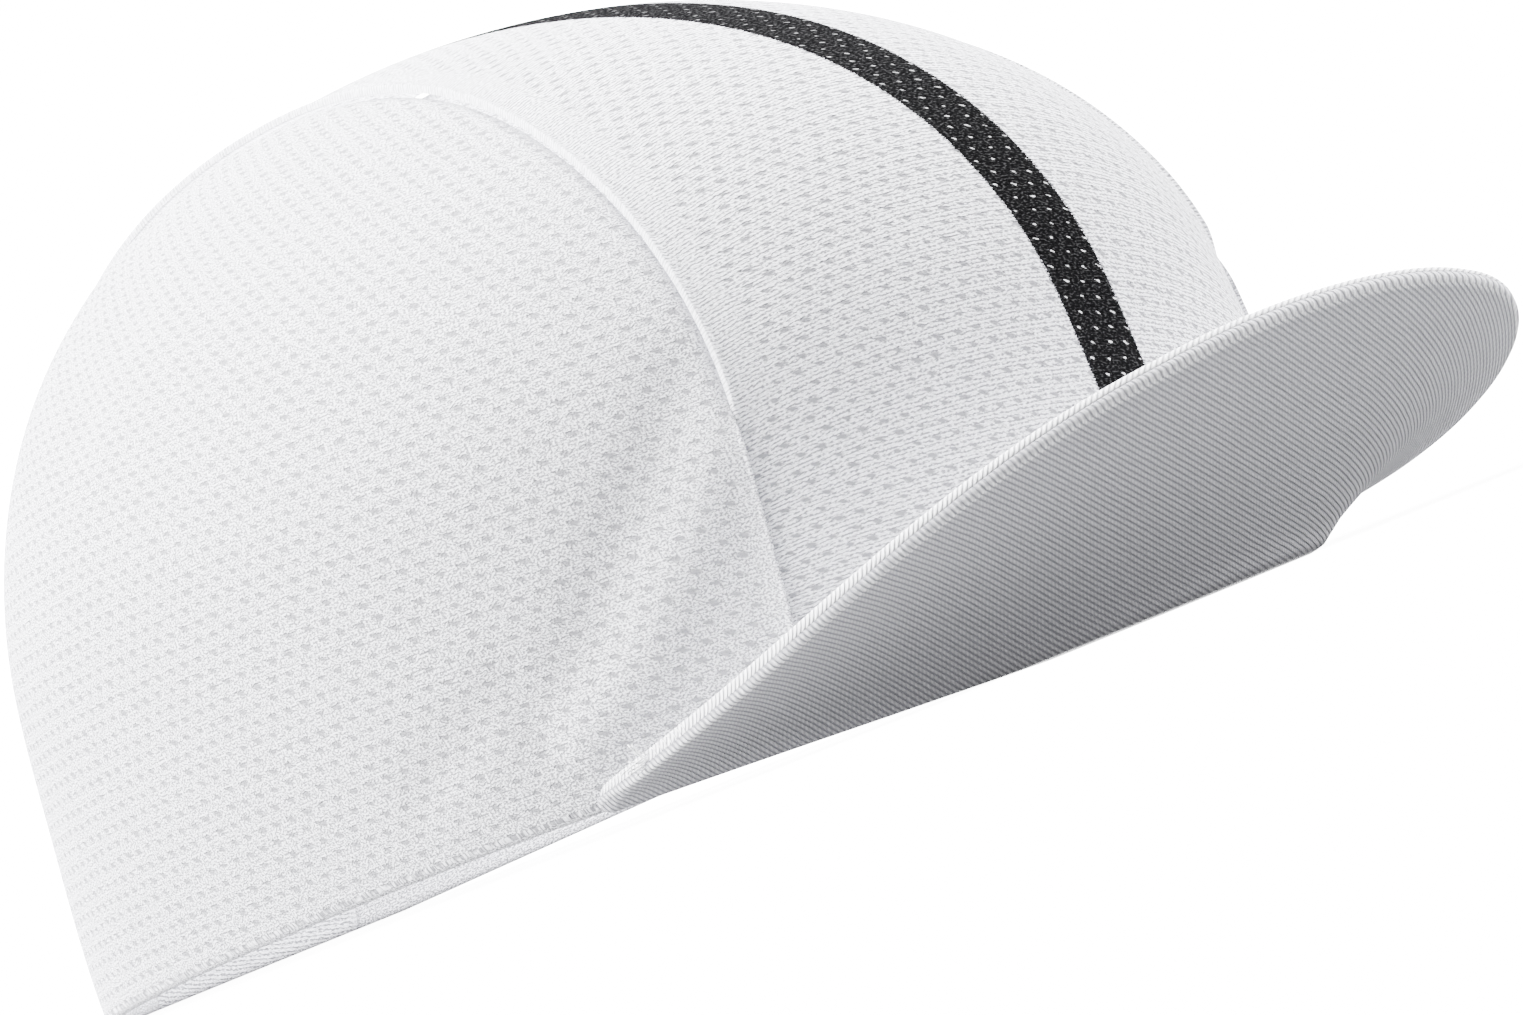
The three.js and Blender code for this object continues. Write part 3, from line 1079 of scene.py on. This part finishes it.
class Cloth(Tree):
    """A material's nodes."""

    def __init__(self, name: str) -> None:
        """Starts a material with its shader and output.

        Args:
            name: the material's name.
        """
        self.material = bpy.data.materials.new(name)
        self.material.use_nodes = True
        super().__init__(self.material.node_tree)
        self.tree.nodes.clear()
        output = self.tree.nodes.new("ShaderNodeOutputMaterial")
        self.shader = self.tree.nodes.new("ShaderNodeBsdfPrincipled")
        self.tree.links.new(self.shader.outputs["BSDF"], output.inputs["Surface"])

    def dress(self, colour: Link, roughness: float, shine: float) -> None:
        """Gives the shader its colour, roughness and shine."""
        for name, value in (("Base Color", colour), ("Roughness", roughness), ("Specular IOR Level", shine)):
            self.plug(self.shader.inputs[name], value)

    def bump(self, height: Value, distance: float) -> None:
        """Puts a height into the shader's normal, where 1 stands for the distance in millimetres."""
        inputs = {"Strength": 1.0, "Distance": distance * MM, "Height": height}
        self.plug(self.shader.inputs["Normal"], self.result("Bump", inputs, "Normal"))

    def cloth(self) -> tuple[Value, Value]:
        """The cloth coordinates in millimetres, across and along."""
        across, along, _ = self.parts("SeparateXYZ", self.result("UVMap", {}, "UV", uv_map="cloth"))
        return across, along

    def vector(self, x: Link, y: Link) -> Value:
        """A vector from its first two parts."""
        return self.result("CombineXYZ", {0: x, 1: y})

    def noise(self, at: Value, scale: float, detail: float = 1.0) -> Value:
        """A noise texture's value."""
        return self.result("TexNoise", {"Vector": at, "Scale": scale, "Detail": detail}, "Fac")

    def mix(self, share: Link, one: Link, other: Link) -> Value:
        """A mix of two colours."""
        return self.result("Mix", {0: share, 6: one, 7: other}, 2, data_type="RGBA")

    def attribute(self, name: str) -> Value:
        """A float attribute of the mesh."""
        return self.result("Attribute", {}, "Fac", attribute_name=name)

    def chance(self, at: Value) -> list[Value]:
        """Three fixed random numbers from 0 to 1 for each whole-numbered place."""
        return self.parts("SeparateColor", self.result("TexWhiteNoise", {"Vector": at}, "Color"))

    def outside(self) -> Value:
        """1 on faces that face away from the middle of the cap, 0 on its inside."""
        place = self.place("Object")
        from_middle = self.result("VectorMath", {0: place, 1: CAP_MIDDLE}, operation="SUBTRACT")
        return self.ramp(self.dot(from_middle, self.place("Normal")), 0.0, 0.004)


# Finishes

@dataclass(frozen=True)
class KnitFinish:
    """White eyelet mesh knit, with or without the dark stripe printed down its middle.

    Attributes:
        skew: how far the knitted rows slope, as a share of their length.
        stretch: a stitch's height against its length; 1 is round.
        grain: how strongly the stitches shade the cloth.
        depth: how dark the painted shade in the eyelets is.
        course: how far the stitches stand in rows, as a share.
        pitch: millimetres from eyelet to eyelet in a row.
        row: millimetres from row to row.
        courses: rows of stitches to a row of eyelets.
        tilt: degrees by which an eyelet slants.
        wander: how far an eyelet strays across and along, in millimetres.
        ragged: how uneven the stripe's edge is, in millimetres.
    """

    name: str
    striped: bool
    skew: float = 0.0
    stretch: float = 0.75
    grain: float = 0.92
    depth: float = 0.80
    course: float = 0.15
    ground: Colour = (0.91, 0.91, 0.96)
    # Painted shade colour that the stitches, eyelets and creases darken towards.
    hollow_shade: Colour = (0.16, 0.16, 0.175)
    ink: Colour = (0.0035, 0.0035, 0.0038)
    bare_thread: Colour = (0.80, 0.80, 0.82)
    pitch: float = 3.3
    row: float = 2.3
    courses: float = 3.4
    stitch: float = 0.40
    tilt: float = 20.0
    half_long: float = 0.98
    half_high: float = 0.43
    narrowing: float = -0.22
    wander: tuple[float, float] = (0.34, 0.26)
    stripe_half: float = 5.95
    stripe_aside: float = 0.35
    ragged: float = 1.7
    relief: float = 0.34

    def _eyelet(self, n: Cloth, across: Value, along: Value) -> Value:
        """How far a place is from the nearest eyelet's middle, where 1 is at its edge.

        Args:
            n: the material's nodes.
            across: the place across the cloth.
            along: the place along it.

        Returns:
            The distance.
        """
        rows = along / self.row
        row = n.math("FLOOR", rows)
        cells = across / self.pitch + n.math("MODULO", abs(row), 2.0) * 0.5
        aside, ahead, size = n.chance(n.vector(n.math("FLOOR", cells), row))
        x = (n.math("FRACT", cells) - 0.5) * self.pitch + (aside - 0.5) * self.wander[0]
        y = (n.math("FRACT", rows) - 0.5) * self.row + (ahead - 0.5) * self.wander[1]
        cosine, sine = math.cos(math.radians(self.tilt)), math.sin(math.radians(self.tilt))
        long = x * cosine + y * sine
        high = y * cosine - x * sine
        width = (long + high * 0.4) * self.narrowing + self.half_high
        long, high = long / self.half_long, high / n.math("MAXIMUM", width, 0.08)
        far = n.math("SQRT", n.math("POWER", long, 2.0) + n.math("POWER", high, 2.0))
        return far / (size * 0.45 + 0.80)

    def _print(self, n: Cloth, across: Value, along: Value, far: Value, grain: Value, colour: Value) -> Value:
        """The dark stripe on the cloth's face, with white dots at its eyelets.

        Args:
            n: the material's nodes.
            across: the place across the cloth.
            along: the place along it.
            far: the distance from the nearest eyelet.
            grain: the stitches' noise.
            colour: the cloth's colour.

        Returns:
            The printed cloth's colour.
        """
        uneven = n.noise(n.vector(across * 0.6, along), 4.5, 2.0)
        off = abs(across - self.stripe_aside) + (uneven - 0.5) * self.ragged
        stripe = n.ramp(off, self.stripe_half + 0.06, self.stripe_half - 0.06) * n.outside()
        dots = n.ramp(far, 0.39, 0.20) * n.ramp(along, 125.0, 45.0, 0.15, 0.80)
        hairs = n.ramp(grain, 0.50, 0.68) * 0.03
        return n.mix(stripe, colour, n.mix(n.math("MAXIMUM", dots, hairs), self.ink, self.bare_thread))

    def build(self) -> bpy.types.Material:
        """Makes the material.

        Returns:
            The material.
        """
        n = Cloth(self.name)
        across, along = n.cloth()
        along = along - across * self.skew
        stretched = n.vector(across * self.stretch, along)
        wavering = n.noise(n.vector(across * 0.3, along), 0.6)
        courses = n.math("SINE", (along / (self.row / self.courses) + wavering) * (2 * math.pi))
        grain = n.noise(stretched, 1.45 / self.stitch)
        fibre = n.noise(stretched, 3.2 / self.stitch)
        yarn = n.noise(n.vector(across * 0.35, along), 0.9)
        far = self._eyelet(n, across, along) + (grain - 0.5) * 1.1
        plain = n.attribute("plain")
        eyelet = n.ramp(far, 1.25, 0.45) * n.ramp(plain, 0.45, 0.0)
        between = courses * 0.5 + (0.5 - grain) * 2.4
        speck = n.ramp(between, -0.05, 0.35) * self.course + n.ramp(grain, 0.55, 0.43) * (0.9 - self.course)
        speck = (speck + n.ramp(fibre, 0.62, 0.38) * 0.1) * n.ramp(plain, 0.5, 0.95, 1.0, 0.1)
        # The stitches' speckle, the eyelets and the crease mark darken the ground towards the hollow colour:
        # painted shade of the knit's relief, its eyelets and the seams' creases.
        shade = n.math("MAXIMUM", speck * self.grain, eyelet * self.depth)
        shade = n.math("MAXIMUM", shade, n.attribute("crease_shade") * 0.82)
        colour = n.mix(shade, self.ground, self.hollow_shade)
        if self.striped:
            colour = self._print(n, across, along, far, grain, colour)
        n.dress(colour, 0.95, 0.0)
        n.bump(yarn * 0.35 - speck * 0.5 - eyelet * 0.7, self.relief)
        return n.material


@dataclass(frozen=True)
class TwillFinish:
    """White ribbed twill, whose slanting ribs bend with the peak and are made of small beads.

    Attributes:
        rolled: the ribs' colour on the peak's rim; on the under cover it is the white of the lit rolled rim,
            without the painted shade of its underside.
        pitch: millimetres from rib to rib.
        slant: how far the ribs slope, as a share of their length.
        bend: how they curve, and end_bend how much more beyond far_end, in millimetres from the middle.
        bead: millimetres from bead to bead, whose columns stand at bead_angle degrees.
    """

    name: str = "white_ribbed_twill"
    crest: Colour = (0.92, 0.92, 0.94)
    # Colour between the ribs: painted shade of their relief.
    valley: Colour = (0.40, 0.40, 0.43)
    rolled: Colour = (0.94, 0.94, 0.96)
    pitch: float = 0.76
    slant: float = 0.535
    bend: float = 0.0015
    far_end: float = 20.0
    end_bend: float = 0.0035
    squeeze: float = 0.89
    bead: float = 0.60
    bead_angle: float = 58.0
    relief: float = 0.26

    def build(self) -> bpy.types.Material:
        """Makes the material.

        Returns:
            The material.
        """
        n = Cloth(self.name)
        x, y = n.cloth()
        beyond = n.math("MINIMUM", x + self.far_end, 0.0)
        over = (y - x * self.slant + x * x * self.bend + beyond * beyond * self.end_bend) * self.squeeze
        over = over + (n.noise(n.vector(x * 0.25, y), 0.35) - 0.5) * 0.14
        angle = math.radians(self.bead_angle)
        columns = y * math.cos(angle) - x * math.sin(angle)
        grain = n.noise(n.vector(x, y), 3.2)
        off = abs(n.math("FRACT", over / self.pitch) - 0.5) * 2.0 + (grain - 0.5) * 0.5
        rib = n.ramp(off, 1.02, 0.30)
        bead = (n.math("SINE", columns * (2 * math.pi / self.bead)) + 1.0) * 0.5
        # The ribs go from the valley's painted shade up to the crest's colour, and the crease mark adds
        # painted shade along the edge seam.
        light = n.math("MULTIPLY", rib, bead * 0.42 + 0.58, clamp=True) * (1.0 - n.attribute("crease_shade"))
        crest = n.mix(n.attribute("rim"), self.crest, self.rolled)
        n.dress(n.mix(light, self.valley, crest), 0.95, 0.06)
        n.bump(rib * (bead * 0.22 + 0.78), self.relief)
        return n.material


@dataclass(frozen=True)
class ThreadFinish:
    """White polyester sewing thread with its twist."""

    name: str = "white_thread"
    dark: Colour = (0.70, 0.70, 0.72)
    light: Colour = (0.88, 0.88, 0.89)

    def build(self) -> bpy.types.Material:
        """Makes the material.

        Returns:
            The material.
        """
        n = Cloth(self.name)
        twist = n.noise(n.place("Object"), 3500.0)
        n.dress(n.mix(n.ramp(twist, 0.35, 0.65), self.dark, self.light), 0.5, 0.5)
        n.bump(twist, 0.06)
        return n.material


# The studio

@dataclass(frozen=True)
class Studio:
    """A pale floor, soft light and the camera at the photograph's angle.

    Attributes:
        azimuth: degrees from the front to the camera, towards the wearer's left where positive.
        place: the camera's place in metres.
        dim_towards: the middle of the surround's darker part.
        dim_reach: the cosines from that middle at which the dark is full and at which it is gone.
        top_towards: the middle of the overhead light, and top_level its level.
        top_reach: the cosines from that middle at which the light is gone and at which it is full.
        low_level: the level below the horizon, whose upward parts horizon gives.
        backdrop_reach: degrees from behind the cap at which the backdrop is gone and at which it is full.
        floor_fades: metres from the middle at which the floor begins to fade and ends.
        inside_power: watts of the lamp inside the crown, for the light that thin knit lets through.
    """

    azimuth: float = -50.35
    elevation: float = -1.493
    roll: float = -21.873
    place: tuple[float, float, float] = (-0.8796, -0.7414, 0.0050)
    lens: float = 189.5
    dim_towards: tuple[float, float, float] = (-0.45, -0.87, -0.20)
    dim_reach: tuple[float, float] = (0.25, -0.05)
    side_level: float = 36.0
    dim_level: float = 0.7
    top_towards: tuple[float, float, float] = (0.42, 0.44, 0.79)
    top_level: float = 19.0
    top_reach: tuple[float, float] = (0.38, 1.00)
    low_level: float = 0.9
    horizon: tuple[float, float] = (-0.12, 0.22)
    backdrop_level: float = 14.0
    backdrop_reach: tuple[float, float] = (11.0, 7.5)
    floor_tone: float = 0.32
    floor_cover: float = 0.45
    floor_fades: tuple[float, float] = (0.11, 0.26)
    inside_power: float = 2.4
    inside_radius: float = 0.035
    inside_place: tuple[float, float, float] = (0.0, 0.015, 0.055)

    def _axes(self) -> tuple[Vector, Vector, Vector]:
        """The camera's own directions.

        Returns:
            Its right, up and back.
        """
        turn, tilt, roll = (math.radians(angle) for angle in (self.azimuth, self.elevation, self.roll))
        back = Vector((math.sin(turn) * math.cos(tilt), -math.cos(turn) * math.cos(tilt), math.sin(tilt)))
        level = Vector((math.cos(turn), math.sin(turn), 0.0))
        upright = back.cross(level)
        right = level * math.cos(roll) + upright * math.sin(roll)
        up = upright * math.cos(roll) - level * math.sin(roll)
        return right, up, back

    def floor(self) -> None:
        """A pale floor that fades into the surround."""
        near, far = self.floor_fades
        n = Cloth("pale_floor")
        n.dress((self.floor_tone, self.floor_tone, self.floor_tone * 1.01), 1.0, 0.0)
        out = n.result("VectorMath", {0: n.place("Object")}, "Value", operation="LENGTH")
        n.plug(n.shader.inputs["Alpha"], n.ramp(out, far, near, 0.0, self.floor_cover))
        bm = bmesh.new()
        bmesh.ops.create_circle(bm, cap_ends=True, segments=96, radius=far * 1.05)
        new_piece("floor", bm, n.material)

    def surround(self) -> None:
        """A pale surround, brighter at the sides and overhead than in front of the cap."""
        world = bpy.data.worlds.new("surround")
        world.use_nodes = True
        tree = Tree(world.node_tree)
        background = world.node_tree.nodes["Background"]
        direction = tree.place("Generated")

        def lobe(towards: Sequence[float], low: float, high: float, to_low: float = 0.0,
                 to_high: float = 1.0) -> Value:
            """A level that depends on how near a direction is to another."""
            return tree.ramp(tree.dot(direction, Vector(towards).normalized()), low, high, to_low, to_high)

        sides = lobe(self.dim_towards, *self.dim_reach, self.dim_level, self.side_level)
        overhead = lobe(self.top_towards, *self.top_reach)
        upper = lobe((0, 0, 1), *self.horizon)
        above = sides * (1.0 - overhead) + overhead * self.top_level
        level = above * upper + (1.0 - upper) * self.low_level
        outer, inner = (math.cos(math.radians(angle)) for angle in self.backdrop_reach)
        backdrop = lobe(-self._axes()[2], outer, inner, 0.0, self.backdrop_level)
        tree.plug(background.inputs["Color"], (1.0, 1.0, 1.0))
        tree.plug(background.inputs["Strength"], level + backdrop)
        bpy.context.scene.world = world

    def lamp(self) -> None:
        """A soft lamp inside the crown, for the light that thin knit lets through."""
        lamp = bpy.data.lights.new("inside", "POINT")
        lamp.energy = self.inside_power
        lamp.shadow_soft_size = self.inside_radius
        holder = bpy.data.objects.new("inside", lamp)
        holder.location = self.inside_place
        holder.visible_camera = False
        bpy.context.scene.collection.objects.link(holder)

    def camera(self) -> None:
        """The camera, from its turn, tilt and roll."""
        data = bpy.data.cameras.new("camera")
        data.sensor_fit = "HORIZONTAL"
        data.sensor_width = 36.0
        data.lens = self.lens
        data.clip_start = 0.01
        camera = bpy.data.objects.new("camera", data)
        camera.matrix_world = Matrix.Translation(self.place) @ Matrix(self._axes()).transposed().to_4x4()
        bpy.context.scene.collection.objects.link(camera)
        bpy.context.scene.camera = camera

    def build(self) -> None:
        """Makes the floor, the light and the camera."""
        self.floor()
        self.surround()
        self.lamp()
        self.camera()


def main() -> None:
    """Builds the cap and its studio in order."""
    logging.basicConfig(level=logging.INFO, format="%(name)s: %(message)s")
    form = CrownForm()
    knit = KnitFinish("white_eyelet_knit", False).build()
    striped = KnitFinish("white_eyelet_knit_with_stripe", True, skew=0.22, stretch=0.46, grain=0.98,
                         depth=0.90, course=0.60).build()
    twill = TwillFinish().build()
    # The same white twill for the under cover, its crest and valley greyed as painted shade of the peak's
    # underside; its rolled rim stays white.
    shaded_under_twill = TwillFinish("white_ribbed_twill_underneath", (0.56, 0.56, 0.59), (0.25, 0.25, 0.28)).build()
    Studio().build()
    pieces = Crown(form, knit, striped).build()
    pieces += Peak(PeakForm(form), twill, shaded_under_twill).build()
    pieces += PeakEnds(PeakForm(form), ThreadFinish().build()).build()
    for piece in pieces:
        LOG.info("%s: %d faces", piece.name, len(piece.data.polygons))


if __name__ == "__main__":
    main()
